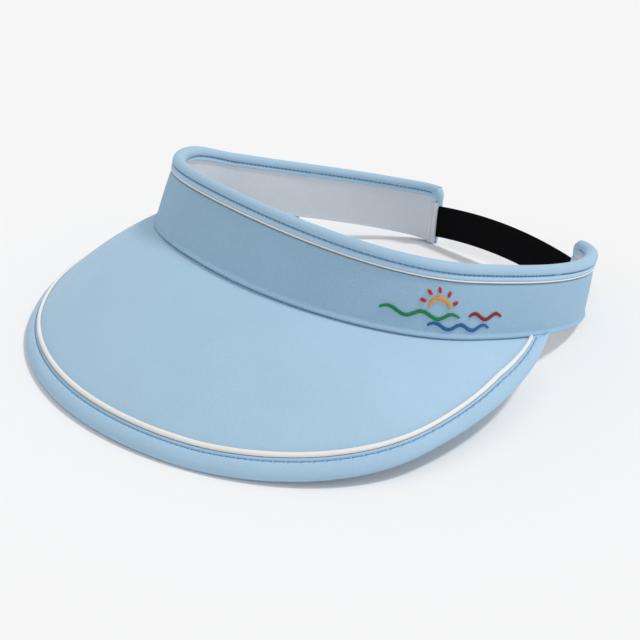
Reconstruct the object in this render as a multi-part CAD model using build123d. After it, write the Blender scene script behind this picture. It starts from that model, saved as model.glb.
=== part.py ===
from build123d import *
import os
from math import copysign, cos, pi, radians, sin, sqrt

os.makedirs("parts", exist_ok=True)

# Open-crown sun visor lying on a table, brim forwards. Millimetres, +Z up.
# The brim points to -Y, the wearer's left is +X and the elastic closes the band at +Y.
# The origin is under the middle of the bounding box, on the table.

# Head band, outer face: two half superellipses meeting at the temples
HALF_WIDTH = 93.0
FRONT_REACH = 71.4
REAR_REACH = 122.0
FRONT_POWER = 2.22
REAR_POWER = 2.45
BAND_END = radians(153.6)
CURL_START = radians(141.0)
CURL = 4.2
# Lower edge: height at the forehead, at the (missing) back, and its slight sag
FORE_Z = 46.6
BACK_Z = -2.0
SAG_Z = -1.0
# Height of the band along its own face, and how far its top edge leans inwards
HEIGHT = (32.3, 30.2, 30.4)
LEAN = (14.8, 1.4, -5.4)

# Layers of the band, from the outer face inwards
PLY_GAP = 0.06
SHELL = 0.5
STIFFENER = 0.33
STIFFENER_GAP = 0.12
LINING_IN = 3.8
LINING = 0.65
LIP = 0.25
BINDING = 0.45
LEG_GAP = 0.05
ROLL_R = 2.7
STRIP_LOW = 7.3
CORD_R = 0.55
CORD_LOW = 7.9
THREAD_R = 0.2
FORE_LIFT = -0.18

# The band flexes where the brim's wings end; each arm swings about this station
HINGE = radians(114.0)
HINGE_GAP = 1.0

# Brim: outer edge in plan, its height above the table, and the crown of its surface
EDGE_HALF = 120.6
EDGE_FRONT = 87.4
EDGE_BACK = 145.9
EDGE_Y = -48.85
EDGE_POWER = 1.93
EDGE_END = radians(131.5)
WING_END = radians(107.7)
EDGE_RISE = 1.3
WING_START = 0.28
WING_POWER = 1.35
CROWN = 2.8
BOARD = 1.6
COVER = 0.42
TAPE = 0.5
EDGE_WIDTH = 7.3
EDGE_R = 1.95
BRIM_CORD_IN = 8.9
BRIM_CORD_R = 0.9
STITCH_IN = 6.4

# Elastic strap
STRAP_WIDTH = 17.0
STRAP = 1.2
STRAP_LOW = 2.2
STRAP_DEPTH = 1.9
STRAP_TUCK = 8.0
STRAP_BULGE = 3.0

# Shift from the band's own centre to the origin under the bounding box
SHIFT = Vector(0, 12.62, -0.4)


def superellipse(angle, power):
    s = sin(angle)
    c = cos(angle)
    return copysign(abs(s) ** (2 / power), s), copysign(abs(c) ** (2 / power), c)


def by_station(theta, values):
    fore, side, rear = values
    c = cos(theta)
    return side + ((fore if c > 0 else rear) - side) * c * c


def band_plan(theta, grow=0.0):
    front = cos(theta) > 0
    s, c = superellipse(theta, FRONT_POWER if front else REAR_POWER)
    x = (HALF_WIDTH + grow) * s
    y = -((FRONT_REACH if front else REAR_REACH) + grow) * c
    return x, y


def lower_edge(theta):
    x, y = band_plan(theta)
    k = (y + FRONT_REACH) / (FRONT_REACH + REAR_REACH)
    z = FORE_Z + (BACK_Z - FORE_Z) * k + SAG_Z * 4 * k * (1 - k)
    return Vector(x, y - end_curl(theta), z) + SHIFT


def end_curl(theta):
    past = max(0.0, (abs(theta) - CURL_START) / (BAND_END - CURL_START))
    return CURL * past * past


def upper_edge(theta):
    lean = by_station(theta, LEAN)
    x, y = band_plan(theta, -lean)
    rise = sqrt(by_station(theta, HEIGHT) ** 2 - lean ** 2)
    return Vector(x, y - end_curl(theta), lower_edge(theta).Z - SHIFT.Z + rise) + SHIFT


def band_frame(theta):
    """Lower edge point, direction up the face, outward normal, and face height."""
    low = lower_edge(theta)
    up = upper_edge(theta) - low
    step = 0.002
    along = (lower_edge(theta + step) + upper_edge(theta + step)
             - lower_edge(theta - step) - upper_edge(theta - step))
    rise = up.normalized()
    return low, rise, along.cross(rise).normalized(), up.length


def on_band(theta, height, depth):
    low, rise, out, _ = band_frame(theta)
    return low + rise * height - out * depth


def spread(first, last, count):
    return [first + (last - first) * i / (count - 1) for i in range(count)]


def even(path, first, last, count):
    """Parameters that divide a path into equal lengths."""
    fine = spread(first, last, 401)
    points = [path(t) for t in fine]
    run = [0.0]
    for a, b in zip(points, points[1:]):
        run.append(run[-1] + (b - a).length)
    chosen = []
    i = 0
    for target in spread(0.0, run[-1], count):
        while i < 399 and run[i + 1] < target:
            i += 1
        part = (target - run[i]) / (run[i + 1] - run[i])
        chosen.append(fine[i] + (fine[i + 1] - fine[i]) * min(part, 1.0))
    return chosen


def skin(wires):
    return Solid.make_loft(wires, ruled=False)


def band_ply(start, end, count, outline):
    """Loft a polygonal outline, given as (height, depth) pairs, along the band."""
    wires = []
    for theta in even(lower_edge, start, end, count):
        low, rise, out, tall = band_frame(theta)
        corners = [low + rise * v - out * t for v, t in outline(tall)]
        wires.append(Wire.make_polygon(corners, close=True))
    return skin(wires)


def ring(radius):
    """Corners of the six-sided section of a cord or thread."""
    return [(radius * cos(pi * i / 3), radius * sin(pi * i / 3)) for i in range(6)]


def band_tube(start, end, count, drop, depth, radius):
    """Cord or thread running along the band at a drop below its top."""
    def outline(tall):
        return [(tall - drop + a, depth + b) for a, b in ring(radius)]
    return band_ply(start, end, count, outline)


def band_roll(start, end, count):
    """Binding turned over the top of the band: a puffed roll above two flat legs."""
    middle = LINING_IN / 2
    outer_half = middle + LEG_GAP + BINDING
    inner_half = middle + LEG_GAP
    inner_r = ROLL_R - BINDING
    outer_waist = ROLL_R + sqrt(ROLL_R ** 2 - outer_half ** 2)
    inner_waist = ROLL_R + sqrt(inner_r ** 2 - inner_half ** 2)
    wires = []
    for theta in even(lower_edge, start, end, count):
        low, rise, out, tall = band_frame(theta)

        def at(drop, half, low=low, rise=rise, out=out, tall=tall):
            return low + rise * (tall - drop) - out * (middle + half)

        p = [at(STRIP_LOW, -outer_half), at(outer_waist, -outer_half), at(0, 0)]
        p += [at(outer_waist, outer_half), at(STRIP_LOW, outer_half)]
        q = [at(STRIP_LOW, inner_half), at(inner_waist, inner_half), at(BINDING, 0)]
        q += [at(inner_waist, -inner_half), at(STRIP_LOW, -inner_half)]
        edges = [Edge.make_line(p[0], p[1]), Edge.make_three_point_arc(p[1], p[2], p[3])]
        edges += [Edge.make_line(p[3], p[4]), Edge.make_line(p[4], q[0])]
        edges += [Edge.make_line(q[0], q[1]), Edge.make_three_point_arc(q[1], q[2], q[3])]
        edges += [Edge.make_line(q[3], q[4]), Edge.make_line(q[4], p[0])]
        wires.append(Wire(edges))
    return skin(wires)


def band_pad(start, end, count, inset, foot):
    """Foam between the faces, swelling into the roll at the top."""
    middle = LINING_IN / 2
    bulb_r = ROLL_R - BINDING - PLY_GAP
    face_in = LINING_IN - LINING - PLY_GAP
    neck = ROLL_R + 1.35
    bulb_half = sqrt(bulb_r ** 2 - (neck - ROLL_R - 0.35) ** 2)
    wires = []
    for theta in even(lower_edge, start, end, count):
        low, rise, out, tall = band_frame(theta)

        def at(height, depth, low=low, rise=rise, out=out):
            return low + rise * height - out * depth

        shoulder = tall - neck + 0.35
        p = [at(foot, inset), at(tall - neck, inset), at(shoulder, middle - bulb_half)]
        p += [at(tall - BINDING - PLY_GAP, middle), at(shoulder, middle + bulb_half)]
        p += [at(tall - neck, face_in), at(foot, face_in)]
        edges = [Edge.make_line(p[0], p[1]), Edge.make_line(p[1], p[2])]
        edges += [Edge.make_three_point_arc(p[2], p[3], p[4]), Edge.make_line(p[4], p[5])]
        edges += [Edge.make_line(p[5], p[6]), Edge.make_line(p[6], p[0])]
        wires.append(Wire(edges))
    return skin(wires)


PLY_TOP = ROLL_R + 1.5


def shell_outline(tall):
    top = tall - PLY_TOP
    return [(0, -LIP), (1.1, -LIP), (1.5, 0), (top, 0), (top, SHELL), (0, SHELL)]


def stiffener_outline(tall):
    near = SHELL + STIFFENER_GAP
    top = tall - PLY_TOP - 2
    return [(1.5, near), (top, near), (top, near + STIFFENER), (1.5, near + STIFFENER)]


def lining_outline(tall):
    top = tall - PLY_TOP
    face = LINING_IN - LINING
    return [(0.4, face), (top, face), (top, LINING_IN), (0.4, LINING_IN)]


def nose_point(u):
    """Outermost line of the brim; its front stands a little off the table."""
    s, c = superellipse(EDGE_END * u, EDGE_POWER)
    reach = EDGE_FRONT if cos(EDGE_END * u) > 0 else EDGE_BACK
    tip_z = lower_edge(WING_END).Z
    flat = max(0.0, 1 - (abs(u) / 0.6) ** 2) ** 2
    wing = (max(0.0, abs(u) - WING_START) / (1 - WING_START)) ** WING_POWER
    z = FORE_LIFT + EDGE_RISE * flat + (tip_z - FORE_LIFT) * wing
    return Vector(EDGE_HALF * s, EDGE_Y - reach * c, z) + Vector(SHIFT.X, SHIFT.Y, 0)


def brim_frame(u):
    """Mid-surface of the brim at one station: inner end, outer end, directions, length."""
    low, rise, out, _ = band_frame(WING_END * u)
    nose = nose_point(u)
    crease = low - rise * 0.2 - out * 0.3
    along = (nose - crease).normalized()
    lift = Vector(low.X - SHIFT.X, low.Y - SHIFT.Y, 0).normalized() * 0.6 + Vector(0, 0, 0.8)
    face = (lift - along * lift.dot(along)).normalized()
    heel = crease - face * (BOARD / 2 + PLY_GAP + TAPE)
    return heel, nose, (nose - heel).normalized(), face, (nose - heel).length


def brim_point(frame, inward, offset):
    """Point at a distance in from the nose and an offset along the face direction."""
    heel, nose, along, face, length = frame
    s = 1 - inward / length
    bow = CROWN * min(length / 60, 1) * 4 * s * (1 - s)
    return nose - along * inward + face * (offset + bow)


# Stations that every piece of the brim is lofted through; the edge tape runs on nearly to its tips
tape_stations = even(nose_point, -0.975, 0.975, 31)
brim_stations = tape_stations[1:-1]


def brim_ply(near, low, high):
    """Layer of the brim between two offsets, from near the edge to the band."""
    wires = []
    for u in brim_stations:
        frame = brim_frame(u)
        far = frame[4]
        half = (near + far) / 2
        top = [brim_point(frame, d, high) for d in (near, half, far)]
        base = [brim_point(frame, d, low) for d in (far, half, near)]
        edges = [Edge.make_three_point_arc(*top), Edge.make_line(top[2], base[0])]
        edges += [Edge.make_three_point_arc(*base), Edge.make_line(base[2], top[0])]
        wires.append(Wire(edges))
    return skin(wires)


def brim_binding():
    """Tape folded round the outer edge, a rounded nose with a leg on each face."""
    wires = []
    for u in tape_stations:
        frame = brim_frame(u)
        width = min(EDGE_WIDTH, frame[4] - 1.0)
        inner = EDGE_R - TAPE

        def at(inward, offset, frame=frame):
            return brim_point(frame, inward, offset)

        p = [at(width, EDGE_R), at(EDGE_R, EDGE_R), at(0, 0), at(EDGE_R, -EDGE_R)]
        p += [at(width, -EDGE_R), at(width, -inner), at(EDGE_R, -inner), at(TAPE, 0)]
        p += [at(EDGE_R, inner), at(width, inner)]
        edges = [Edge.make_line(p[0], p[1]), Edge.make_three_point_arc(p[1], p[2], p[3])]
        edges += [Edge.make_line(p[3], p[4]), Edge.make_line(p[4], p[5])]
        edges += [Edge.make_line(p[5], p[6]), Edge.make_three_point_arc(p[6], p[7], p[8])]
        edges += [Edge.make_line(p[8], p[9]), Edge.make_line(p[9], p[0])]
        wires.append(Wire(edges))
    return skin(wires)


def brim_tube(stations, inward, offset, radius):
    """Cord or thread running round the brim at a distance in from its edge."""
    wires = []
    for u in stations:
        frame = brim_frame(u)
        centre = brim_point(frame, min(inward, frame[4] * 0.7), offset)
        corners = [centre + frame[2] * a + frame[3] * b for a, b in ring(radius)]
        wires.append(Wire.make_polygon(corners, close=True))
    return skin(wires)


def strap_half():
    """Half of the elastic: tucked between the faces of the arm, then across the gap."""
    wires = []
    half = STRAP / 2

    def section(centre, rise, out):
        corners = []
        for v, t in ((0, -half), (STRAP_WIDTH, -half), (STRAP_WIDTH, half), (0, half)):
            corners.append(centre + rise * v - out * t)
        wires.append(Wire.make_polygon(corners, close=True))

    tuck = STRAP_TUCK / 97.0
    for theta in spread(BAND_END - tuck, BAND_END, 4):
        low, rise, out, _ = band_frame(theta)
        section(low + rise * STRAP_LOW - out * STRAP_DEPTH, rise, out)
    exit_point = on_band(BAND_END, STRAP_LOW, STRAP_DEPTH)
    _, rise_end, _, _ = band_frame(BAND_END)
    for k in (0.85, 0.7, 0.5, 0.3, 0.15, 0.2 / exit_point.X):
        y = exit_point.Y + STRAP_BULGE * (1 - k * k)
        centre = Vector(exit_point.X * k, y, exit_point.Z)
        rise = Vector(rise_end.X * k, rise_end.Y, rise_end.Z).normalized()
        slope = Vector(-1, 2 * STRAP_BULGE * k / exit_point.X, 0)
        out = (slope * -1).cross(rise).normalized()
        section(centre, rise, out if out.Y > 0 else out * -1)
    return skin(wires)


def end_bar(low, high, start, length, near, far):
    """Straight bar standing on the end of an arm, given in height, run and depth."""
    foot, rise, out, tall = band_frame(BAND_END)
    along = rise.cross(out)
    plane = Plane(origin=foot + rise * low, x_dir=along, z_dir=rise)
    with BuildSketch(plane) as sketch:
        with Locations((start + length / 2, (near + far) / 2)):
            RectangleRounded(length, far - near, min(length, far - near) * 0.42)
    return extrude(sketch.sketch, amount=high - low)


# Embroidered motif: strokes of satin stitch in (along, up) millimetres on the front face
MOTIF_AT = 119.0
MOTIF_LOW = 3.0
STROKE = 1.5
PILE = 0.55


def run_table():
    """Distance along the lower edge from the middle of the forehead, by angle."""
    angles = spread(0.0, radians(112), 561)
    points = [lower_edge(t) for t in angles]
    run = [0.0]
    for a, b in zip(points, points[1:]):
        run.append(run[-1] + (b - a).length)
    return angles, run


motif_angles, motif_run = run_table()


def theta_at(distance):
    i = 0
    while motif_run[i + 1] < distance:
        i += 1
    part = (distance - motif_run[i]) / (motif_run[i + 1] - motif_run[i])
    return motif_angles[i] + (motif_angles[i + 1] - motif_angles[i]) * part


def on_motif(along, up, depth):
    return on_band(theta_at(MOTIF_AT + along), MOTIF_LOW + up, depth)


def stroke(path, count, width=STROKE):
    """Raised flat thread pad that follows a path given as a function of 0 to 1."""
    wires = []
    for k in spread(0.0, 1.0, count):
        a0, b0 = path(k - 0.01)
        a1, b1 = path(k + 0.01)
        run = sqrt((a1 - a0) ** 2 + (b1 - b0) ** 2)
        na, nb = -(b1 - b0) / run, (a1 - a0) / run
        a, b = path(k)
        half = width / 2 * (0.55 + 0.45 * min(1, 6 * min(k, 1 - k)))
        centre = on_motif(a, b, 0)
        _, _, out, _ = band_frame(theta_at(MOTIF_AT + a))
        across = on_motif(a + na * 0.1, b + nb * 0.1, 0) - on_motif(a - na * 0.1, b - nb * 0.1, 0)
        across = (across - out * across.dot(out)).normalized()
        corners = []
        for side, height in ((-1, 0.1), (-0.6, PILE), (0.6, PILE), (1, 0.1)):
            corners.append(centre + across * (side * half) + out * height)
        wires.append(Wire.make_polygon(corners, close=True))
    return skin(wires)


def arc_path(ca, cb, radius, first, last):
    def path(k):
        angle = first + (last - first) * k
        return ca + radius * cos(angle), cb + radius * sin(angle)
    return path


def line_path(a0, b0, a1, b1):
    def path(k):
        return a0 + (a1 - a0) * k, b0 + (b1 - b0) * k
    return path


def wave_path(a0, a1, base, swing, crests):
    def path(k):
        return a0 + (a1 - a0) * k, base + swing * sin(2 * pi * crests * k)
    return path


SUN_A = -4.0
SUN_B = 8.6
motif = {
    "motif_sun": [stroke(arc_path(SUN_A, SUN_B, 4.4, radians(8), radians(172)), 15)],
    "motif_rays": [],
    "motif_wave_green": [stroke(wave_path(-28, 5, 5.7, 1.2, 2.5), 31)],
    "motif_wave_blue": [stroke(wave_path(-9, 21, 1.7, 1.1, 2.5), 31)],
    "motif_spray": [stroke(wave_path(10, 28, 6.4, 1.2, 1.5), 19)],
}
for degrees_up in (22, 56, 90, 124, 158):
    ca = cos(radians(degrees_up))
    sa = sin(radians(degrees_up))
    ray = line_path(SUN_A + 6.4 * ca, SUN_B + 6.4 * sa, SUN_A + 8.6 * ca, SUN_B + 8.6 * sa)
    motif["motif_rays"].append(stroke(ray, 5))

# Pieces of the front, which does not move
front_limit = HINGE - HINGE_GAP / 2 / 85
front_span = (-front_limit, front_limit, 27)
thread_out = -LEG_GAP - BINDING - THREAD_R - 0.06
thread_in = LINING_IN + LEG_GAP + BINDING + THREAD_R + 0.06
cord_out = -CORD_R - 0.03
cover_base = BOARD / 2 + PLY_GAP
cord_base = cover_base + COVER + 0.3 + BRIM_CORD_R
pieces = {
    "brim_board": brim_ply(1.4, -BOARD / 2, BOARD / 2),
    "brim_top_cover": brim_ply(2.1, cover_base, cover_base + COVER),
    "brim_under_cover": brim_ply(2.1, -cover_base - COVER, -cover_base),
    "brim_edge_binding": brim_binding(),
    "brim_piping": brim_tube(brim_stations[1:-1], BRIM_CORD_IN, cord_base, BRIM_CORD_R),
    "brim_edge_stitching": brim_tube(brim_stations, STITCH_IN, EDGE_R + THREAD_R + 0.06, THREAD_R),
    "brim_under_stitching": brim_tube(brim_stations, STITCH_IN, -EDGE_R - THREAD_R - 0.12, THREAD_R),
    "front_shell": band_ply(*front_span, shell_outline),
    "front_stiffener": band_ply(*front_span, stiffener_outline),
    "front_foam": band_pad(*front_span, SHELL + STIFFENER + 2 * STIFFENER_GAP, 0.6),
    "front_lining": band_ply(*front_span, lining_outline),
    "front_top_binding": band_roll(*front_span),
    "front_piping": band_tube(*front_span, CORD_LOW, cord_out, CORD_R),
    "front_stitching_outer": band_tube(*front_span, ROLL_R + 1.7, thread_out, THREAD_R),
    "front_stitching_inner": band_tube(*front_span, ROLL_R + 1.7, thread_in, THREAD_R),
}
for name, strokes in motif.items():
    pieces[name] = strokes[0] if len(strokes) == 1 else Compound(children=strokes)

# Pieces of the arm on the wearer's left, mirrored for the right
arm_start = HINGE + HINGE_GAP / 2 / 85
foam_end = BAND_END - (STRAP_TUCK + 1.5) / 97
arm_span = (arm_start, BAND_END, 9)
end_top = band_frame(BAND_END)[3]
arm = {
    "shell": band_ply(*arm_span, shell_outline),
    "foam": band_pad(arm_start, foam_end, 8, SHELL + PLY_GAP, 0.6),
    "lining": band_ply(*arm_span, lining_outline),
    "top_binding": band_roll(*arm_span),
    "piping": band_tube(*arm_span, CORD_LOW, cord_out, CORD_R),
    "stitching_outer": band_tube(*arm_span, ROLL_R + 1.7, thread_out, THREAD_R),
    "stitching_inner": band_tube(*arm_span, ROLL_R + 1.7, thread_in, THREAD_R),
    "elastic": strap_half(),
    "end_roll": end_bar(0.3, end_top - 1.5, 0.1, 2.4, -0.7, 1.1),
    "end_facing": end_bar(0.4, end_top - 8.0, -3.2, 3.0, LINING_IN + 0.4, LINING_IN + 0.9),
    "end_stitching": end_bar(2.5, end_top - 9.0, -2.0, 0.5, LINING_IN + 0.95, LINING_IN + 1.35),
}
for name, solid in arm.items():
    pieces["left_" + name] = solid
    pieces["right_" + name] = mirror(solid, about=Plane.YZ)

for name, solid in pieces.items():
    export_step(solid, "parts/" + name + ".step")
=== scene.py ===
import math

import bmesh
import bpy
import numpy as np
from mathutils import Matrix, Vector


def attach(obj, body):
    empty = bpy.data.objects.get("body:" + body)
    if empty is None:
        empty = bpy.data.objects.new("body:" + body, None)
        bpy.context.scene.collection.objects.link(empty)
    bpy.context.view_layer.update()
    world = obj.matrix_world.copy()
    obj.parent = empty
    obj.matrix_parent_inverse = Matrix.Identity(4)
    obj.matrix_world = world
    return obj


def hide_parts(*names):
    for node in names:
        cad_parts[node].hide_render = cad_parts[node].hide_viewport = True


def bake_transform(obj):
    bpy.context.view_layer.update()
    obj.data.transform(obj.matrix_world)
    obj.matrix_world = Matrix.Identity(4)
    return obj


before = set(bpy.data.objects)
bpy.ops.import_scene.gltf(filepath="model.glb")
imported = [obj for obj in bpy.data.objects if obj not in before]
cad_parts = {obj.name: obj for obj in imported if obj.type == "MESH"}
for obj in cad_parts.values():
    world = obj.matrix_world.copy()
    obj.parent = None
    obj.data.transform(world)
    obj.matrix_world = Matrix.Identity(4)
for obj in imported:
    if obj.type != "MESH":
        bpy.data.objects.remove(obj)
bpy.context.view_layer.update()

# ---------------------------------------------------------------- band and brim, in millimetres
HALF_WIDTH, FRONT_REACH, REAR_REACH = 93.0, 71.4, 122.0
FRONT_POWER, REAR_POWER = 2.22, 2.45
BAND_END, CURL_START, CURL = math.radians(153.6), math.radians(141.0), 4.2
FORE_Z, BACK_Z, SAG_Z = 46.6, -2.0, -1.0
HEIGHT, LEAN = (32.3, 30.2, 30.4), (14.8, 1.4, -5.4)
THICK = 3.8
MID_HEIGHT = 15.0
COVER_TOP = 1.36
ROLL_R, STRIP_LOW, CORD_LOW = 2.7, 6.25, 6.72
EDGE_HALF, EDGE_FRONT, EDGE_BACK, EDGE_Y, EDGE_POWER = 120.6, 87.4, 145.9, -48.85, 1.93
EDGE_END, WING_END = math.radians(131.5), math.radians(107.7)
FORE_LIFT, EDGE_RISE, WING_START, WING_POWER, CROWN = -0.18, 1.3, 0.28, 1.35, 2.8
SHIFT = np.array([0.0, 12.62, -0.4])
# Angles at which the arms begin and the flexing stretch ends
SPLIT = math.radians(109.0)
FLEX_END = math.radians(121.0)


def unit(v):
    return v / np.linalg.norm(v, axis=-1, keepdims=True)


def se(t, power):
    """Across and along parts of a unit superellipse."""
    s, c = np.sin(t), np.cos(t)
    return np.sign(s) * np.abs(s) ** (2 / power), np.sign(c) * np.abs(c) ** (2 / power)


def by_station(t, values):
    """A value that runs from the front, through the side, to the rear."""
    c = np.cos(t)
    return values[1] + (np.where(c > 0, values[0], values[2]) - values[1]) * c * c


def band_edges(t):
    """Lower and upper edge of the band at angle t from the forehead."""
    t = np.asarray(t, float)
    sf, cf = se(t, FRONT_POWER)
    sr, cr = se(t, REAR_POWER)
    front = np.cos(t) > 0
    curl = CURL * np.maximum(0, (np.abs(t) - CURL_START) / (BAND_END - CURL_START)) ** 2

    def plan(grow):
        x = (HALF_WIDTH + grow) * np.where(front, sf, sr)
        y = -np.where(front, (FRONT_REACH + grow) * cf, (REAR_REACH + grow) * cr)
        return x, y

    x, y = plan(0.0)
    k = (y + FRONT_REACH) / (FRONT_REACH + REAR_REACH)
    z = FORE_Z + (BACK_Z - FORE_Z) * k + SAG_Z * 4 * k * (1 - k)
    low = np.stack([x, y - curl, z], -1) + SHIFT
    lean = by_station(t, LEAN)
    xu, yu = plan(-lean)
    rise = np.sqrt(by_station(t, HEIGHT) ** 2 - lean ** 2)
    top = np.stack([xu, yu - curl, z + rise], -1) + SHIFT
    # The soft band has taken a set: it leans in at the wearer's right of the forehead,
    # and its ends stand up a little
    lean_in = np.exp(-((t + math.radians(66)) / math.radians(24)) ** 2)[..., None]
    perk = np.exp(-((np.abs(t) - BAND_END) / math.radians(9)) ** 2)[..., None]
    top = top + lean_in * np.array([2.9, 3.9, 2.6]) + perk * np.array([0, 0, 1.2])
    low = low + lean_in * np.array([0.6, 0.8, 2.2])
    return low, top


def band_frame(t):
    """Lower edge, direction up the band, direction outwards, and height."""
    low, top = band_edges(t)
    step = 0.002
    al, au = band_edges(np.asarray(t) + step)
    bl, bu = band_edges(np.asarray(t) - step)
    tall = np.linalg.norm(top - low, axis=-1)
    rise = unit(top - low)
    out = unit(np.cross(al + au - bl - bu, rise))
    return low, rise, out, tall


FINE = np.linspace(-BAND_END, BAND_END, 6001)
_low, _rise, _out, _tall = band_frame(FINE)
_mid = _low + _rise * MID_HEIGHT
RUN = np.concatenate([[0], np.cumsum(np.linalg.norm(np.diff(_mid, axis=0), axis=1))])
RUN -= RUN[3000]
HALF_RUN = RUN[-1]


def theta_at(run):
    return np.interp(run, RUN, FINE)


def run_at(theta):
    return float(np.interp(theta, FINE, RUN))


def on_band(run, v, t):
    """Points on the band: run along it in mm, height v up from the bottom, depth t inwards."""
    low, rise, out, _ = band_frame(theta_at(run))
    v, t = np.asarray(v, float), np.asarray(t, float)
    return low + rise * v[..., None] - out * t[..., None]


def nose_point(u):
    s, c = se(EDGE_END * u, EDGE_POWER)
    reach = np.where(np.cos(EDGE_END * u) > 0, EDGE_FRONT, EDGE_BACK)
    tip_z = float(band_edges(WING_END)[0][2])
    flat = np.maximum(0, 1 - (np.abs(u) / 0.6) ** 2) ** 2
    wing = (np.maximum(0, np.abs(u) - WING_START) / (1 - WING_START)) ** WING_POWER
    z = FORE_LIFT + EDGE_RISE * flat + (tip_z - FORE_LIFT) * wing
    return np.stack([EDGE_HALF * s, EDGE_Y - reach * c + SHIFT[1], z], -1)


def brim_frame(u):
    """Heel, nose, direction between them, upper face and length, u running from tip to tip."""
    u = np.asarray(u, float)
    low, rise, out, _ = band_frame(WING_END * u)
    nose = nose_point(u)
    crease = low - rise * 0.2 - out * 0.3
    along = unit(nose - crease)
    lift = low - SHIFT
    lift[..., 2] = 0
    lift = unit(lift) * 0.6 + np.array([0, 0, 0.8])
    face = unit(lift - along * np.sum(lift * along, -1, keepdims=True))
    heel = crease - face * COVER_TOP
    length = np.linalg.norm(nose - heel, axis=-1)
    return heel, nose, unit(nose - heel), face, length


def brim_point(f, inward, offset):
    """f is a brim frame of n stations; inward and offset are n by m."""
    heel, nose, along, face, length = f
    s = 1 - inward / length[:, None]
    bow = CROWN * np.minimum(length / 60, 1)[:, None] * 4 * s * (1 - s)
    return nose[:, None] - along[:, None] * inward[..., None] + face[:, None] * (offset + bow)[..., None]


UF = np.linspace(-1, 1, 4001)
_nose = nose_point(UF)
EDGE_RUN = np.concatenate([[0], np.cumsum(np.linalg.norm(np.diff(_nose, axis=0), axis=1))])
EDGE_RUN -= EDGE_RUN[2000]


def u_at(run):
    return np.interp(run, EDGE_RUN, UF)


# ---------------------------------------------------------------- mesh helpers
def mesh_object(name, verts, faces, uvs=None, smooth=True):
    me = bpy.data.meshes.new(name)
    me.from_pydata([tuple(v) for v in np.asarray(verts, float) / 1000.0], [], faces)
    me.validate()
    if smooth:
        me.polygons.foreach_set("use_smooth", [True] * len(me.polygons))
    if uvs is not None:
        layer = me.uv_layers.new(name="cloth")
        index = np.zeros(len(me.loops), np.int32)
        me.loops.foreach_get("vertex_index", index)
        layer.data.foreach_set("uv", np.asarray(uvs, np.float32)[index].ravel())
    me.update()
    ob = bpy.data.objects.new(name, me)
    bpy.context.scene.collection.objects.link(ob)
    return ob


def loop_mesh(name, grid, uvs=None, caps=(True, True)):
    """Skin over a grid of n stations by m section points, the section closed on itself."""
    n, m = grid.shape[:2]
    faces = []
    for i in range(n - 1):
        a, b = i * m, (i + 1) * m
        for j in range(m):
            k = (j + 1) % m
            faces.append((a + j, a + k, b + k, b + j))
    if caps[0]:
        faces.append(tuple(range(m - 1, -1, -1)))
    if caps[1]:
        faces.append(tuple((n - 1) * m + j for j in range(m)))
    uv = None if uvs is None else uvs.reshape(-1, 2)
    return mesh_object(name, grid.reshape(-1, 3), faces, uv)


def orient(ob):
    """Turn every face outwards."""
    bm = bmesh.new()
    bm.from_mesh(ob.data)
    bmesh.ops.recalc_face_normals(bm, faces=bm.faces[:])
    bm.to_mesh(ob.data)
    bm.free()
    return ob


def fillet(points, radii, steps=4):
    """Closed outline with rounded corners."""
    pts = np.asarray(points, float)
    out = []
    count = len(pts)
    for i in range(count):
        p, a, b = pts[i], pts[i - 1], pts[(i + 1) % count]
        r = radii[i] if hasattr(radii, "__len__") else radii
        da, db = a - p, b - p
        la, lb = np.linalg.norm(da), np.linalg.norm(db)
        cut = min(r, 0.45 * la, 0.45 * lb)
        if cut <= 1e-6:
            out.append(p)
            continue
        pa, pb = p + da / la * cut, p + db / lb * cut
        for k in range(steps + 1):
            s = k / steps
            out.append((1 - s) ** 2 * pa + 2 * s * (1 - s) * p + s * s * pb)
    return np.array(out)


def resample(outline, spacing):
    """Closed outline with extra points on its long runs."""
    out = []
    for a, b in zip(outline, np.roll(outline, -1, axis=0)):
        n = max(1, int(math.ceil(np.linalg.norm(b - a) / spacing)))
        for k in range(n):
            out.append(a + (b - a) * k / n)
    return np.array(out)


def band_skin(name, runs, outline_at, caps=(True, True)):
    """outline_at(tall, runs) gives height and depth arrays of n by m."""
    low, rise, out, tall = band_frame(theta_at(runs))
    v, t = outline_at(tall, runs)
    grid = low[:, None] + rise[:, None] * v[..., None] - out[:, None] * t[..., None]
    uv = np.stack([np.broadcast_to(runs[:, None], v.shape), tall[:, None] - v], -1)
    return orient(loop_mesh(name, grid, uv, caps))


def capsule_strand(name, centres, tangents, ups, length, width, height, seg=8):
    """Many short rounded stitches in one mesh."""
    length = np.broadcast_to(length, (len(centres),))
    rings = [(-0.5, 0.25), (-0.42, 0.8), (-0.2, 1.0), (0.2, 1.0), (0.42, 0.8), (0.5, 0.25)]
    verts, faces = [], []
    for c, t, n, size_along in zip(centres, tangents, ups, length):
        s = np.cross(t, n)
        base = len(verts)
        for along, size in rings:
            for k in range(seg):
                a = 2 * math.pi * k / seg
                verts.append(c + t * along * size_along + s * math.cos(a) * width / 2 * size
                             + n * math.sin(a) * height / 2 * size)
        for i in range(len(rings) - 1):
            for k in range(seg):
                k2 = (k + 1) % seg
                faces.append((base + i * seg + k, base + i * seg + k2,
                              base + (i + 1) * seg + k2, base + (i + 1) * seg + k))
        faces.append(tuple(base + seg - 1 - k for k in range(seg)))
        faces.append(tuple(base + (len(rings) - 1) * seg + k for k in range(seg)))
    return orient(mesh_object(name, np.array(verts), faces))


# ---------------------------------------------------------------- materials
def node_material(name, rough=0.85):
    mat = bpy.data.materials.new(name)
    mat.use_nodes = True
    nt = mat.node_tree
    bsdf = nt.nodes["Principled BSDF"]
    bsdf.inputs["Roughness"].default_value = rough
    return mat, nt, bsdf


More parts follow.
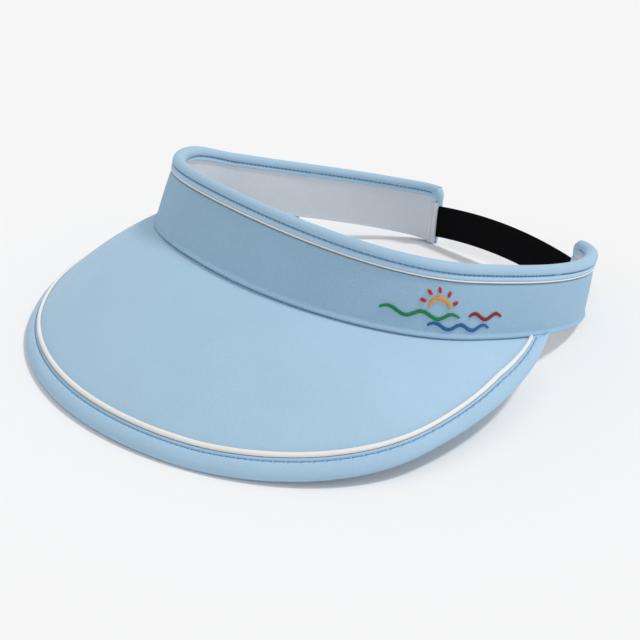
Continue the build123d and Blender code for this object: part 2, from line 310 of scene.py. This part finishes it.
def srgb(r, g, b):
    def lin(v):
        v /= 255.0
        return v / 12.92 if v <= 0.04045 else ((v + 0.055) / 1.055) ** 2.4
    return (lin(r), lin(g), lin(b), 1.0)


def scaled(col, k):
    return (min(1, col[0] * k), min(1, col[1] * k), min(1, col[2] * k), 1.0)


def fabric(name, colour, grain, depth, vary, rough, sheen, ribs=None, rib_depth=0.1, mottled=0.03,
           spec=0.25, body=None):
    """Matt cloth: a fine irregular grain, slow shifts of shade, and optional ribs across the run.
    body is a factor that darkens the part within about 4 mm of the piece's top, where the cloth is puffed."""
    mat, nt, bsdf = node_material(name, rough)
    N, L = nt.nodes, nt.links
    bsdf.inputs["Sheen Weight"].default_value = sheen
    bsdf.inputs["Sheen Roughness"].default_value = 0.45
    bsdf.inputs["Specular IOR Level"].default_value = spec
    coord = N.new("ShaderNodeTexCoord")
    fine = N.new("ShaderNodeTexNoise")
    fine.inputs["Scale"].default_value = 1000.0 / grain
    fine.inputs["Detail"].default_value = 3.0
    fine.inputs["Roughness"].default_value = 0.6
    L.new(coord.outputs["Object"], fine.inputs["Vector"])
    slow = N.new("ShaderNodeTexNoise")
    slow.inputs["Scale"].default_value = 38.0
    slow.inputs["Detail"].default_value = 2.0
    L.new(coord.outputs["Object"], slow.inputs["Vector"])
    ramp = N.new("ShaderNodeValToRGB")
    ramp.color_ramp.elements[0].position = 0.3
    ramp.color_ramp.elements[0].color = scaled(colour, 1 - vary)
    ramp.color_ramp.elements[1].position = 0.7
    ramp.color_ramp.elements[1].color = scaled(colour, 1 + vary)
    L.new(fine.outputs["Fac"], ramp.inputs["Fac"])
    tint = N.new("ShaderNodeValToRGB")
    tint.color_ramp.elements[0].position = 0.35
    tint.color_ramp.elements[0].color = (1 - mottled, 1 - mottled, 1 - mottled, 1)
    tint.color_ramp.elements[1].position = 0.65
    tint.color_ramp.elements[1].color = (1, 1, 1, 1)
    L.new(slow.outputs["Fac"], tint.inputs["Fac"])
    mix = N.new("ShaderNodeMix")
    mix.data_type = "RGBA"
    mix.blend_type = "MULTIPLY"
    mix.inputs[0].default_value = 1.0
    L.new(ramp.outputs["Color"], mix.inputs[6])
    L.new(tint.outputs["Color"], mix.inputs[7])
    shade = mix.outputs[2]
    # The part within about 4 mm of the piece's top is made darker by the factor body
    if body:
        split = N.new("ShaderNodeSeparateXYZ")
        L.new(coord.outputs["UV"], split.inputs[0])
        edge = N.new("ShaderNodeValToRGB")
        edge.color_ramp.elements[0].position = 0.40
        edge.color_ramp.elements[0].color = (body, body, body, 1)
        edge.color_ramp.elements[1].position = 0.43
        edge.color_ramp.elements[1].color = (1, 1, 1, 1)
        tenth = N.new("ShaderNodeMath")
        tenth.operation = "MULTIPLY"
        tenth.inputs[1].default_value = 0.1
        L.new(split.outputs[1], tenth.inputs[0])
        L.new(tenth.outputs[0], edge.inputs["Fac"])
        top_darkening = N.new("ShaderNodeMix")
        top_darkening.data_type = "RGBA"
        top_darkening.blend_type = "MULTIPLY"
        top_darkening.inputs[0].default_value = 1.0
        L.new(shade, top_darkening.inputs[6])
        L.new(edge.outputs["Color"], top_darkening.inputs[7])
        shade = top_darkening.outputs[2]
    L.new(shade, bsdf.inputs["Base Color"])
    height = fine.outputs["Fac"]
    if ribs:
        wave = N.new("ShaderNodeTexWave")
        wave.wave_type = "BANDS"
        wave.bands_direction = "X"
        wave.inputs["Scale"].default_value = 0.314 / ribs
        wave.inputs["Distortion"].default_value = 0.0
        wave.inputs["Detail"].default_value = 1.0
        L.new(coord.outputs["UV"], wave.inputs["Vector"])
        add = N.new("ShaderNodeMath")
        add.operation = "MULTIPLY_ADD"
        add.inputs[1].default_value = rib_depth / max(depth, 1e-6)
        L.new(wave.outputs["Fac"], add.inputs[0])
        L.new(fine.outputs["Fac"], add.inputs[2])
        height = add.outputs[0]
    bump = N.new("ShaderNodeBump")
    bump.inputs["Distance"].default_value = 0.001
    bump.inputs["Strength"].default_value = min(1.0, depth)
    L.new(height, bump.inputs["Height"])
    L.new(bump.outputs["Normal"], bsdf.inputs["Normal"])
    return mat


M = {
    "cover": fabric("brim_cloth", srgb(174, 206, 229), 0.5, 0.16, 0.04, 0.8, 0.12),
    # The band's cloth is set darker than the brim's: this darkness is painted shade for the band, whose front
    # lies in shade.
    "shell": fabric("band_cloth", srgb(156, 192, 218), 0.5, 0.32, 0.07, 0.8, 0.1),
    "bind": fabric("binding_cloth", srgb(171, 204, 228), 0.42, 0.2, 0.04, 0.82, 0.15),
    "roll": fabric("roll_cloth", srgb(176, 210, 235), 0.42, 0.14, 0.04, 0.82, 0.12, body=0.87),
    "lining": fabric("lining_cloth", srgb(215, 222, 229), 0.7, 0.22, 0.03, 0.95, 0.2),
    "foam": fabric("foam_pad", srgb(236, 236, 230), 0.9, 0.3, 0.04, 0.95, 0.0),
    "board": fabric("board_sheet", srgb(235, 235, 232), 1.5, 0.02, 0.02, 0.5, 0.0),
    "cord": fabric("piping_cord", srgb(243, 240, 236), 0.3, 0.08, 0.03, 0.6, 0.1),
    "thread": fabric("seam_thread", srgb(94, 150, 196), 0.2, 0.1, 0.1, 0.6, 0.1),
    "grey_thread": fabric("tack_thread", srgb(206, 210, 214), 0.2, 0.1, 0.06, 0.6, 0.1),
    "elastic": fabric("elastic_web", srgb(6, 6, 8), 0.35, 0.25, 0.25, 0.9, 0.0, ribs=0.75, rib_depth=0.5,
                      spec=0.1),
}
THREADS = {
    "orange": srgb(238, 164, 56), "red": srgb(214, 40, 34), "green": srgb(24, 140, 78),
    "royal": srgb(36, 104, 164), "maroon": srgb(148, 28, 40),
}
for key, col in THREADS.items():
    M[key] = fabric("silk_" + key, col, 0.25, 0.1, 0.12, 0.42, 0.1)


def dress(ob, mat, body, replaced=()):
    ob.data.materials.clear()
    ob.data.materials.append(M[mat])
    if isinstance(body, str):
        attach(ob, body)
    else:
        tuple(body[2])
        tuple(body[3])
        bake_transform(ob)
    if replaced:
        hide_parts(*replaced)
    return ob


FLEX_FROM = on_band(np.array([run_at(SPLIT)]), [MID_HEIGHT], [THICK / 2])[0] / 1000
FLEX_TO = on_band(np.array([run_at(FLEX_END)]), [MID_HEIGHT], [THICK / 2])[0] / 1000


def flex(side):
    """Front and arm bodies and the end points of the stretch between them: side is 1 for the wearer's left and
    -1 for the right.
    """
    a, b = Vector(FLEX_FROM), Vector(FLEX_TO)
    a.x *= side
    b.x *= side
    return ("front", "left_arm" if side > 0 else "right_arm", a, b)


SIDES = ((1, "left"), (-1, "right"))
R_SPLIT = run_at(SPLIT)


def stretches():
    """The band's three stretches: name, run range, body."""
    yield "front", -R_SPLIT, R_SPLIT, "front"
    yield "left", R_SPLIT, HALF_RUN, flex(1)
    yield "right", -HALF_RUN, -R_SPLIT, flex(-1)


# ---------------------------------------------------------------- brim
def brim_runs(limit, pitch):
    end = float(np.interp(limit, UF, EDGE_RUN))
    return np.linspace(-end, end, int(2 * end / pitch) + 1)


def brim_skin(name, limit, pitch, section_at):
    runs = brim_runs(limit, pitch)
    f = brim_frame(u_at(runs))
    d, o = section_at(f[4], runs)
    grid = brim_point(f, d, o)
    uv = np.stack([np.broadcast_to(runs[:, None], d.shape), d], -1)
    return orient(loop_mesh(name, grid, uv))


def cover_section(sign):
    def at(length, runs):
        share = np.linspace(0, 1, 46)
        near = 2.2
        d = near + (length[:, None] - near) * share[None]
        top = np.full_like(d, COVER_TOP)
        # The cloth dips a little where the tape and its cord press on it
        top = top - 0.18 * np.exp(-((d - 9.0) / 1.6) ** 2)
        # A faint slow unevenness of the padded face
        top = top + 0.10 * np.sin(runs[:, None] / 31.0 + 1.0) * np.sin(d / 17.0)
        # Next to the band the cloth dives under its lip
        rest = length[:, None] - d
        top = top - 0.35 * np.exp(-(rest / 1.3) ** 2) * (sign > 0)
        base = top - 0.5
        dd = np.concatenate([d, d[:, ::-1]], 1)
        oo = np.concatenate([top, base[:, ::-1]], 1)
        return dd, oo * sign
    return at


cover = brim_skin("brim_top_cover", 0.94, 2.0, cover_section(1))
dress(cover, "cover", "front", ["brim_top_cover"])
under = brim_skin("brim_under_cover", 0.94, 2.0, cover_section(-1))
dress(under, "cover", "front", ["brim_under_cover"])

STITCH, STITCH_IN = 4.6, 6.45
TAPE_OUTLINE = [(7.8, 1.42), (7.8, 1.78), (7.1, 1.9), (6.45, 1.55), (5.9, 2.05), (3.6, 2.3), (1.6, 1.95),
                (0.0, 0.9), (0.0, -0.9), (1.6, -1.95), (3.6, -2.2), (5.9, -2.0), (6.45, -1.6), (6.9, -1.8),
                (7.6, -1.75), (7.6, -1.42), (2.0, -1.42), (0.6, 0.0), (2.0, 1.42)]
TAPE_ROUND = [0.1, 0.15, 0.2, 0.12, 0.4, 1.2, 1.2, 0.9, 0.9, 1.2,
              1.2, 0.4, 0.12, 0.2, 0.15, 0.1, 0.5, 0.5, 0.5]
TAPE = resample(fillet(TAPE_OUTLINE, TAPE_ROUND, 4), 0.9)


def tape_section(length, runs):
    d = np.broadcast_to(TAPE[:, 0], (len(runs), len(TAPE))).copy()
    o = np.broadcast_to(TAPE[:, 1], (len(runs), len(TAPE))).copy()
    shrink = np.minimum(1, (length - 0.5) / 7.8)[:, None]
    d = d * shrink
    # Each stitch pulls the tape in; between stitches it swells a little
    pull = np.abs(np.cos(math.pi * runs / STITCH))[:, None] ** 6
    near = np.exp(-((TAPE[:, 0] - 6.2) / 0.75) ** 2)[None]
    sign = np.sign(o)
    o = o - sign * 0.28 * pull * near
    d = d - 0.22 * pull * np.exp(-((TAPE[:, 0] - 5.9) / 0.5) ** 2)[None]
    # A faint puckering of the padded tape
    pucker = 0.05 * np.sin(2 * math.pi * runs / STITCH + 0.6)[:, None]
    pucker = pucker * np.exp(-((TAPE[:, 0] - 4.6) / 1.4) ** 2)[None]
    return d, o + sign * pucker


tape = brim_skin("brim_edge_binding", 0.992, 0.6, tape_section)
dress(tape, "bind", "front", ["brim_edge_binding"])

CORD = np.array([(math.cos(a), math.sin(a)) for a in np.linspace(0, 2 * math.pi, 14, endpoint=False)])


def brim_cord_section(length, runs):
    d0 = np.minimum(8.95, length - 0.2)[:, None]
    wob = 1 + 0.015 * np.sin(runs / 3.1)[:, None]
    return d0 + CORD[None, :, 0] * wob, COVER_TOP + 0.5 + CORD[None, :, 1] * 0.72 * wob


cord = brim_skin("brim_piping", 0.942, 1.5, brim_cord_section)
dress(cord, "cord", "front", ["brim_piping"])


def brim_stitches(name, side):
    end = float(np.interp(0.96, UF, EDGE_RUN))
    count = int(2 * end / STITCH)
    runs = (np.arange(count) - count // 2 + 0.5) * STITCH
    f = brim_frame(u_at(runs))
    d = np.minimum(STITCH_IN, f[4] - 0.3)[:, None]
    p = brim_point(f, d, np.full_like(d, side * 1.66))[:, 0]
    g = brim_frame(u_at(runs + 0.5))
    q = brim_point(g, np.minimum(STITCH_IN, g[4] - 0.3)[:, None], np.full_like(d, side * 1.66))[:, 0]
    ob = capsule_strand(name, p, unit(q - p), f[3] * side, STITCH * 0.86, 0.42, 0.34)
    return dress(ob, "thread", "front", [name])


brim_stitches("brim_edge_stitching", 1)
brim_stitches("brim_under_stitching", -1)

BOARD_D = np.array([0.0, 0.25, 0.5, 0.75, 1.0])


def board_section(length, runs):
    d = 1.6 + (length[:, None] - 1.7) * BOARD_D[None]
    top = np.full_like(d, 0.72)
    return np.concatenate([d, d[:, ::-1]], 1), np.concatenate([top, -top], 1)


board = brim_skin("brim_board", 0.93, 5.0, board_section)
dress(board, "board", "front", ["brim_board"])


# ---------------------------------------------------------------- band
BAND_STITCH, BAND_STITCH_LOW = 2.5, 4.12


def runs_between(a, b, pitch):
    return np.linspace(a, b, max(2, int(round((b - a) / pitch)) + 1))


SHELL_BASE = resample(fillet([(-0.25, -0.7), (0.35, -1.0), (1.0, -0.7), (1.9, -0.12), (10, 0.0), (20, 0.0),
                              (24.3, 0.0), (25.0, 1.0), (26.0, 1.0), (26.0, 1.3), (14, 1.3), (0.8, 1.1),
                              (0.3, 0.2)],
                             [0.2, 0.3, 0.4, 0.3, 0, 0, 0.4, 0.3, 0.1, 0.1, 0, 0.2, 0.2], 4), 1.4)


def shell_outline(tall, runs):
    v = np.broadcast_to(SHELL_BASE[:, 0], (len(runs), len(SHELL_BASE))).copy()
    t = np.broadcast_to(SHELL_BASE[:, 1], (len(runs), len(SHELL_BASE))).copy()
    top = (tall - 6.15)[:, None]
    v = np.where(v > 1.9, 1.9 + (v - 1.9) * (top - 1.9) / 24.1, v)
    # The padding behind the cloth makes it a little full between lip and tape
    face = (SHELL_BASE[:, 1] < 0.1) & (SHELL_BASE[:, 0] > 1.5)
    full = np.sin(math.pi * np.clip((v - 1.5) / (top - 2.5), 0, 1)) ** 0.6
    t = t - 0.5 * full * face
    t = t - 0.07 * np.sin(runs[:, None] / 23.0) * np.sin(v / 7.0) * face
    return v, t


ROLL = np.array([(math.sin(a), math.cos(a)) for a in np.radians(np.linspace(-19, 199, 34))])


def binding_outline(tall, runs):
    """Roll over the top with a flat strip below it on each face, closed through the inside."""
    mid = THICK / 2
    n = len(runs)
    # depth measured inwards, outer face first
    outer_strip = [(STRIP_LOW, -0.02), (STRIP_LOW + 0.05, -0.42), (STRIP_LOW - 0.15, -0.62), (5.6, -0.72),
                   (4.85, -0.66), (4.45, -0.36), (4.3, 0.05), (3.9, 0.05)]
    inner_strip = [(3.9, THICK - 0.05), (4.3, THICK - 0.05), (4.45, THICK + 0.36), (4.85, THICK + 0.66),
                   (5.6, THICK + 0.72), (STRIP_LOW - 0.15, THICK + 0.62), (STRIP_LOW + 0.05, THICK + 0.42),
                   (STRIP_LOW, THICK + 0.02)]
    roll = [(ROLL_R - ROLL_R * s, mid - (ROLL_R + 0.2) * c) for s, c in ROLL]
    inside = [(5.0, THICK - 0.1), (5.0, 0.1)]
    pts = np.array(outer_strip + roll + inner_strip + inside)
    drop = np.broadcast_to(pts[:, 0], (n, len(pts))).copy()
    depth = np.broadcast_to(pts[:, 1], (n, len(pts))).copy()
    pull = np.abs(np.cos(math.pi * runs / BAND_STITCH))[:, None] ** 4
    near = np.exp(-((pts[:, 0] - 4.1) / 0.55) ** 2)[None]
    shell = np.zeros(len(pts))
    shell[:8 + len(ROLL) // 2] = 1
    shell[8 + len(ROLL) // 2: len(pts) - 2] = -1
    depth = depth + shell[None] * near * (0.24 * pull - 0.16)
    slow = 0.07 * np.sin(runs / 17.0 + 0.5)[:, None] + 0.05 * np.sin(runs / 7.3)[:, None]
    lobe = np.exp(-((pts[:, 0] - 1.6) / 1.6) ** 2)[None]
    depth = depth - shell[None] * lobe * slow * (pts[:, 0] < 4)
    return tall[:, None] - drop, depth


LINE = resample(fillet([(0.3, THICK - 0.6), (0.3, THICK + 0.1), (1.2, THICK + 0.12), (2.2, THICK),
                        (12, THICK), (26, THICK), (26, THICK - 0.6), (12, THICK - 0.6)],
                       [0.1, 0.3, 0.4, 0.4, 0, 0.1, 0.1, 0], 4), 1.8)


def lining_outline(tall, runs):
    v = np.broadcast_to(LINE[:, 0], (len(runs), len(LINE))).copy()
    t = np.broadcast_to(LINE[:, 1], (len(runs), len(LINE))).copy()
    top = (tall - 4.3)[:, None]
    v = np.where(v > 2.3, 2.3 + (v - 2.3) * (top - 2.3) / 23.7, v)
    face = LINE[:, 1] > THICK - 0.3
    full = np.sin(math.pi * np.clip((v - 2.0) / (top - 5.0), 0, 1)) ** 0.8
    t = t + 0.25 * full * face
    t = t + 0.12 * np.sin(runs[:, None] / 13.0 + 0.4 * np.sin(v / 5.0)) * full * face
    return v, t


def foam_outline(tall, runs):
    pts = np.array([(0.8, 0.6), (12, 0.6), (24, 0.6),
                    (24, THICK - 0.7), (12, THICK - 0.7), (0.8, THICK - 0.7)])
    v = np.broadcast_to(pts[:, 0], (len(runs), 6)).copy()
    t = np.broadcast_to(pts[:, 1], (len(runs), 6)).copy()
    return np.where(v > 20, (tall - 4.6)[:, None], v), t


def stiffener_outline(tall, runs):
    pts = np.array([(2.0, 0.62), (12, 0.62), (22, 0.62), (22, 0.95), (12, 0.95), (2.0, 0.95)])
    v = np.broadcast_to(pts[:, 0], (len(runs), 6)).copy()
    t = np.broadcast_to(pts[:, 1], (len(runs), 6)).copy()
    return np.where(v > 20, (tall - 7.4)[:, None], v), t


stiffener = band_skin("front_stiffener", runs_between(-R_SPLIT, R_SPLIT, 4.0), stiffener_outline)
dress(stiffener, "foam", "front", ["front_stiffener"])


def band_cord_outline(tall, runs):
    height = (tall - CORD_LOW)[:, None] + CORD[None, :, 0] * 0.38
    return height, np.broadcast_to(-0.22 + CORD[None, :, 1] * 0.42, height.shape)


for name, a, b, body in stretches():
    long = runs_between(a, b, 1.5)
    ends = (name == "right", name == "left")
    # A station just inside each closed end keeps the smoothing of the rim off the cloth
    closed = np.insert(long, [1, len(long) - 1], [long[0] + 0.01, long[-1] - 0.01])
    shell = band_skin(name + "_shell", closed, shell_outline)
    dress(shell, "shell", body, [name + "_shell"])
    binding = band_skin(name + "_top_binding", runs_between(a, b, 0.5), binding_outline, ends)
    dress(binding, "roll", body, [name + "_top_binding"])
    lining = band_skin(name + "_lining", closed, lining_outline)
    dress(lining, "lining", body, [name + "_lining"])
    trim = 9.0 if name != "front" else 0.0
    foam_a = a + (trim if name == "right" else 0)
    foam_b = b - (trim if name == "left" else 0)
    foam = band_skin(name + "_foam", runs_between(foam_a, foam_b, 4.0), foam_outline)
    dress(foam, "foam", body, [name + "_foam"])
    piping = band_skin(name + "_piping", long, band_cord_outline, ends)
    dress(piping, "cord", body, [name + "_piping"])
    for face, depth, sign in (("outer", -0.22, 1), ("inner", THICK + 0.22, -1)):
        first = math.ceil(a / BAND_STITCH + 0.5)
        last = math.floor(b / BAND_STITCH - 0.5)
        runs = (np.arange(first, last) + 0.5) * BAND_STITCH
        low, rise, out, tall = band_frame(theta_at(runs))
        p = low + rise * (tall - BAND_STITCH_LOW)[:, None] - out * depth
        low2, rise2, out2, tall2 = band_frame(theta_at(runs + 0.3))
        q = low2 + rise2 * (tall2 - BAND_STITCH_LOW)[:, None] - out2 * depth
        ob = capsule_strand(name + "_stitching_" + face, p, unit(q - p), out * sign,
                            BAND_STITCH * 0.7, 0.55, 0.45)
        dress(ob, "thread", body, [name + "_stitching_" + face])

# ---------------------------------------------------------------- ends of the arms and the elastic
STRAP_WIDE, STRAP_HALF, STRAP_BOW, STRAP_UP = 17.0, 0.55, 3.0, 4.0
for side, name in SIDES:
    mirror_x = np.array([side, 1, 1.0])
    low, rise, out, tall = (part[0] for part in band_frame(np.array([BAND_END])))
    along = np.cross(out, rise)
    along = along if along[0] < 0 else -along
    tall = float(tall)

    def at_end(s, v, t, low=low, rise=rise, out=out, along=along):
        return low + along * s + rise * v - out * t

    # Roll that turns the corner and runs down the end: along, up and in, then its two radii
    path = np.array([(-3.6, tall - 2.7, 1.9, 2.55, 2.4), (-2.6, tall - 2.7, 1.9, 2.95, 2.75),
                     (-1.2, tall - 2.75, 1.9, 3.0, 2.75), (-0.2, tall - 3.3, 1.9, 2.95, 2.5),
                     (0.5, tall - 4.6, 1.85, 2.7, 2.0), (0.75, tall - 6.6, 1.6, 2.35, 1.5),
                     (0.75, tall - 9.0, 1.1, 1.9, 1.25), (0.7, 18.0, 0.7, 1.5, 1.15), (0.6, 13.0, 0.5, 1.3, 1.1),
                     (0.4, 8.0, 0.45, 1.25, 1.1), (0.2, 3.5, 0.45, 1.2, 1.05), (-0.2, 1.2, 0.5, 0.9, 0.8)])
    if side > 0:
        # The wearer's left end stands out further from the shell
        path[5:11] += np.array([(0.35, 0, -0.8, 0.3, 0.6), (0.5, 0, -0.9, 0.5, 0.8),
                                (0.5, 0, -0.8, 0.6, 0.8), (0.4, 0, -0.6, 0.5, 0.6),
                                (0.3, 0, -0.4, 0.3, 0.4), (0.1, 0, -0.2, 0.1, 0.2)])
    fine = np.linspace(0, len(path) - 1, 80)
    smooth = np.stack([np.interp(fine, np.arange(len(path)), path[:, k]) for k in range(5)], -1)
    for _ in range(6):
        smooth[1:-1] = (smooth[:-2] + 2 * smooth[1:-1] + smooth[2:]) / 4
    grid = []
    for i, row in enumerate(smooth):
        q = smooth[min(i + 1, len(smooth) - 1), :3] - smooth[max(i - 1, 0), :3]
        n1 = np.array([0, 0, 1.0])
        n2 = np.cross(q / np.linalg.norm(q), n1)
        ring = []
        for a in np.linspace(0, 2 * math.pi, 24, endpoint=False):
            ring.append(at_end(*(row[:3] + n1 * math.cos(a) * row[3] + n2 * math.sin(a) * row[4])))
        grid.append(ring)
    grid = np.array(grid) * mirror_x
    ob = orient(loop_mesh(name + "_end_roll", grid))
    dress(ob, "bind", name + "_arm", [name + "_end_roll"])

    # White turned edge inside the end, with its groove
    outline = resample(fillet([(-3.6, THICK - 0.2), (-3.4, THICK + 0.45), (-1.9, THICK + 0.62),
                               (-1.4, THICK + 0.35), (-0.9, THICK + 0.7), (0.9, THICK + 0.55),
                               (1.3, THICK - 0.3), (1.1, 2.7), (-1.0, 2.7)], 0.35, 4), 0.6)
    heights = np.linspace(0.4, tall - 8.5, 40)
    grid = []
    for v in heights:
        squeeze = 1 - 0.25 * max(0, (1.5 - v) / 1.5)
        grid.append([at_end(s, v, THICK - 1 + (t - THICK + 1) * squeeze) for s, t in outline])
    grid = np.array(grid) * mirror_x
    ob = orient(loop_mesh(name + "_end_facing", grid))
    dress(ob, "lining", name + "_arm", [name + "_end_facing"])

    heights = np.arange(1.6, tall - 9.5, 2.1)
    centres = np.array([at_end(-1.4, v, THICK + 0.5) for v in heights]) * mirror_x
    up = np.array([rise] * len(heights)) * mirror_x
    inward = np.array([-out] * len(heights)) * mirror_x
    ob = capsule_strand(name + "_end_stitching", centres, up, inward, 1.7, 0.32, 0.26)
    dress(ob, "grey_thread", name + "_arm", [name + "_end_stitching"])

    # Elastic: tucked in the arm, then across to the middle
    exit_low = at_end(0, STRAP_UP, THICK / 2)
    tuck = np.linspace(HALF_RUN - 7, HALF_RUN, 8)
    stations = []
    for r in tuck[:-1]:
        l2, r2, o2, _ = band_frame(theta_at(np.array([r])))
        stations.append((l2[0] + r2[0] * STRAP_UP - o2[0] * THICK / 2, r2[0], o2[0]))
    for k in np.linspace(1, -0.004, 60):
        bow = STRAP_BOW * (1 - k * k)
        c = np.array([exit_low[0] * k, exit_low[1] + bow, exit_low[2] + bow])
        r2 = unit(np.array([rise[0] * k, rise[1], rise[2]]))
        steep = 2 * STRAP_BOW * k / exit_low[0]
        slope = np.array([-1, steep, steep])
        o2 = unit(np.cross(-slope, r2))
        o2 = o2 if o2[1] > 0 else -o2
        stations.append((c, r2, o2))
    web = resample(fillet([(0, -STRAP_HALF), (STRAP_WIDE, -STRAP_HALF), (STRAP_WIDE, STRAP_HALF),
                           (0, STRAP_HALF)], 0.35, 3), 1.0)
    grid, uv = [], []
    length = 0
    for i, (c, r2, o2) in enumerate(stations):
        if i:
            length += np.linalg.norm(c - stations[i - 1][0])
        grid.append([c + r2 * v - o2 * t for v, t in web])
        uv.append([(length, v) for v, t in web])
    grid = np.array(grid) * mirror_x
    ob = orient(loop_mesh(name + "_elastic", grid, np.array(uv), (True, False)))
    start = Vector((0, exit_low[1] / 1000, 0.01))
    end = Vector((side * exit_low[0] / 1000, exit_low[1] / 1000, 0.01))
    dress(ob, "elastic", ("front", name + "_arm", start, end), [name + "_elastic"])

# ---------------------------------------------------------------- motif
MOTIF_AT, MOTIF_LOW, STROKE = 119.0, 3.0, 1.5
_edge = band_edges(FINE[3000:])[0]
LOW_RUN = np.concatenate([[0], np.cumsum(np.linalg.norm(np.diff(_edge, axis=0), axis=1))])


def on_motif(a, b, out_by):
    """Point on the front face from (along, up) millimetres, standing out_by off the cloth."""
    low, rise, out, tall = band_frame(np.interp(MOTIF_AT + a, LOW_RUN, FINE[3000:]))
    v = MOTIF_LOW + b
    full = np.sin(math.pi * np.clip((v - 1.5) / (tall - 8.65), 0, 1)) ** 0.6
    return low + rise * np.asarray(v)[..., None] + out * (0.5 * full + out_by)[..., None], out


def arc(ca, cb, radius, first, last):
    def at(k):
        angle = first + (last - first) * k
        return ca + radius * np.cos(angle), cb + radius * np.sin(angle)
    return at


def line(a0, b0, a1, b1):
    return lambda k: (a0 + (a1 - a0) * k, b0 + (b1 - b0) * k)


def wave(a0, a1, base, swing, crests):
    return lambda k: (a0 + (a1 - a0) * k, base + swing * np.sin(2 * math.pi * crests * k))


def satin(paths):
    """Centre, direction, normal and length of every thread laid across the strokes."""
    rng = np.random.default_rng(7)
    centres, across, normals, lengths = [], [], [], []
    for path in paths:
        fine = np.linspace(0, 1, 400)
        fa, fb = path(fine)
        run = np.concatenate([[0], np.cumsum(np.hypot(np.diff(fa), np.diff(fb)))])
        count = int(run[-1] / 0.27)
        k = np.interp(np.linspace(0.1, run[-1] - 0.1, count), run, fine)
        a, b = path(k)
        a0, b0 = path(k - 0.004)
        a1, b1 = path(k + 0.004)
        size = np.hypot(a1 - a0, b1 - b0)
        ta, tb = (a1 - a0) / size, (b1 - b0) / size
        slant = 0.42
        na, nb = -tb + ta * slant, ta + tb * slant
        taper = 0.6 + 0.4 * np.minimum(1, 6 * np.minimum(k, 1 - k))
        half = STROKE / 2 * taper * rng.uniform(0.93, 1.06, count)
        jitter = rng.uniform(-0.05, 0.05, count)
        p, out = on_motif(a + na * jitter, b + nb * jitter, np.full(count, 0.22))
        q, _ = on_motif(a + na * 0.1, b + nb * 0.1, np.full(count, 0.22))
        r, _ = on_motif(a - na * 0.1, b - nb * 0.1, np.full(count, 0.22))
        centres.append(p)
        across.append(unit(q - r))
        normals.append(out)
        lengths.append(2 * half)
    return np.concatenate(centres), np.concatenate(across), np.concatenate(normals), np.concatenate(lengths)


SUN_A, SUN_B = -4.0, 8.6
rays = []
for up_by in (22, 56, 90, 124, 158):
    ca, sa = math.cos(math.radians(up_by)), math.sin(math.radians(up_by))
    rays.append(line(SUN_A + 6.4 * ca, SUN_B + 6.4 * sa, SUN_A + 8.6 * ca, SUN_B + 8.6 * sa))
MOTIF = (
    ("motif_sun", "orange", [arc(SUN_A, SUN_B, 4.4, math.radians(8), math.radians(172))]),
    ("motif_rays", "red", rays),
    ("motif_wave_green", "green", [wave(-28, 5, 5.7, 1.2, 2.5)]),
    ("motif_wave_blue", "royal", [wave(-9, 21, 1.7, 1.1, 2.5)]),
    ("motif_spray", "maroon", [wave(10, 28, 6.4, 1.2, 1.5)]),
)
for node, colour, paths in MOTIF:
    centres, across, normals, lengths = satin(paths)
    ob = capsule_strand(node, centres, across, normals, lengths, 0.34, 0.62, 6)
    dress(ob, colour, "front", [node])

# ---------------------------------------------------------------- stage, light and camera
FAR = 20000
corners = np.array([(-FAR, -FAR, 0), (FAR, -FAR, 0), (FAR, FAR, 0), (-FAR, FAR, 0)])
floor = mesh_object("floor", corners, [(0, 1, 2, 3)], smooth=False)
floor_mat, nt, bsdf = node_material("floor_card", 0.9)
bsdf.inputs["Base Color"].default_value = (0.90, 0.90, 0.905, 1)
bsdf.inputs["Specular IOR Level"].default_value = 0.1
floor.data.materials.append(floor_mat)

world = bpy.data.worlds.new("studio")
bpy.context.scene.world = world
world.use_nodes = True
world.node_tree.nodes["Background"].inputs["Color"].default_value = (1, 1, 1, 1)
world.node_tree.nodes["Background"].inputs["Strength"].default_value = 0.645


def sun(name, azimuth, elevation, strength, angle):
    data = bpy.data.lights.new(name, "SUN")
    data.energy = strength
    data.angle = math.radians(angle)
    ob = bpy.data.objects.new(name, data)
    bpy.context.scene.collection.objects.link(ob)
    az, el = math.radians(azimuth), math.radians(elevation)
    back = Vector((math.sin(az) * math.cos(el), -math.cos(az) * math.cos(el), math.sin(el)))
    ob.rotation_euler = back.to_track_quat("Z", "Y").to_euler()


VIEW_AZIMUTH, VIEW_ELEVATION = 53.73, 24.98
AZ, EL = math.radians(VIEW_AZIMUTH), math.radians(VIEW_ELEVATION)
sun("key", VIEW_AZIMUTH + 94, 60, 1.4, 8)

back = Vector((math.sin(AZ) * math.cos(EL), -math.cos(AZ) * math.cos(EL), math.sin(EL)))
right = Vector((math.cos(AZ), math.sin(AZ), 0))
up = back.cross(right)
roll = math.radians(0.7366)
right_r = right * math.cos(roll) + up * math.sin(roll)
up_r = up * math.cos(roll) - right * math.sin(roll)
target = Vector((-3.19, -4.77, 0.0)) + Vector(SHIFT)
distance = 481.09
# Scale of the view at the target, as a share of a 640-wide frame
PER_MM, FRAME_WIDE = 2.15, 640
place = (target + back * distance) / 1000
cam_data = bpy.data.cameras.new("camera")
cam_data.sensor_width = 36.0
cam_data.lens = PER_MM * distance / FRAME_WIDE * cam_data.sensor_width
cam_data.clip_start = 0.01
cam = bpy.data.objects.new("camera", cam_data)
bpy.context.scene.collection.objects.link(cam)
basis = Matrix((right_r, up_r, back)).transposed().to_4x4()
cam.matrix_world = Matrix.Translation(place) @ basis
bpy.context.scene.camera = cam
bpy.context.scene.view_settings.view_transform = "Standard"
bpy.context.scene.view_settings.look = "None"
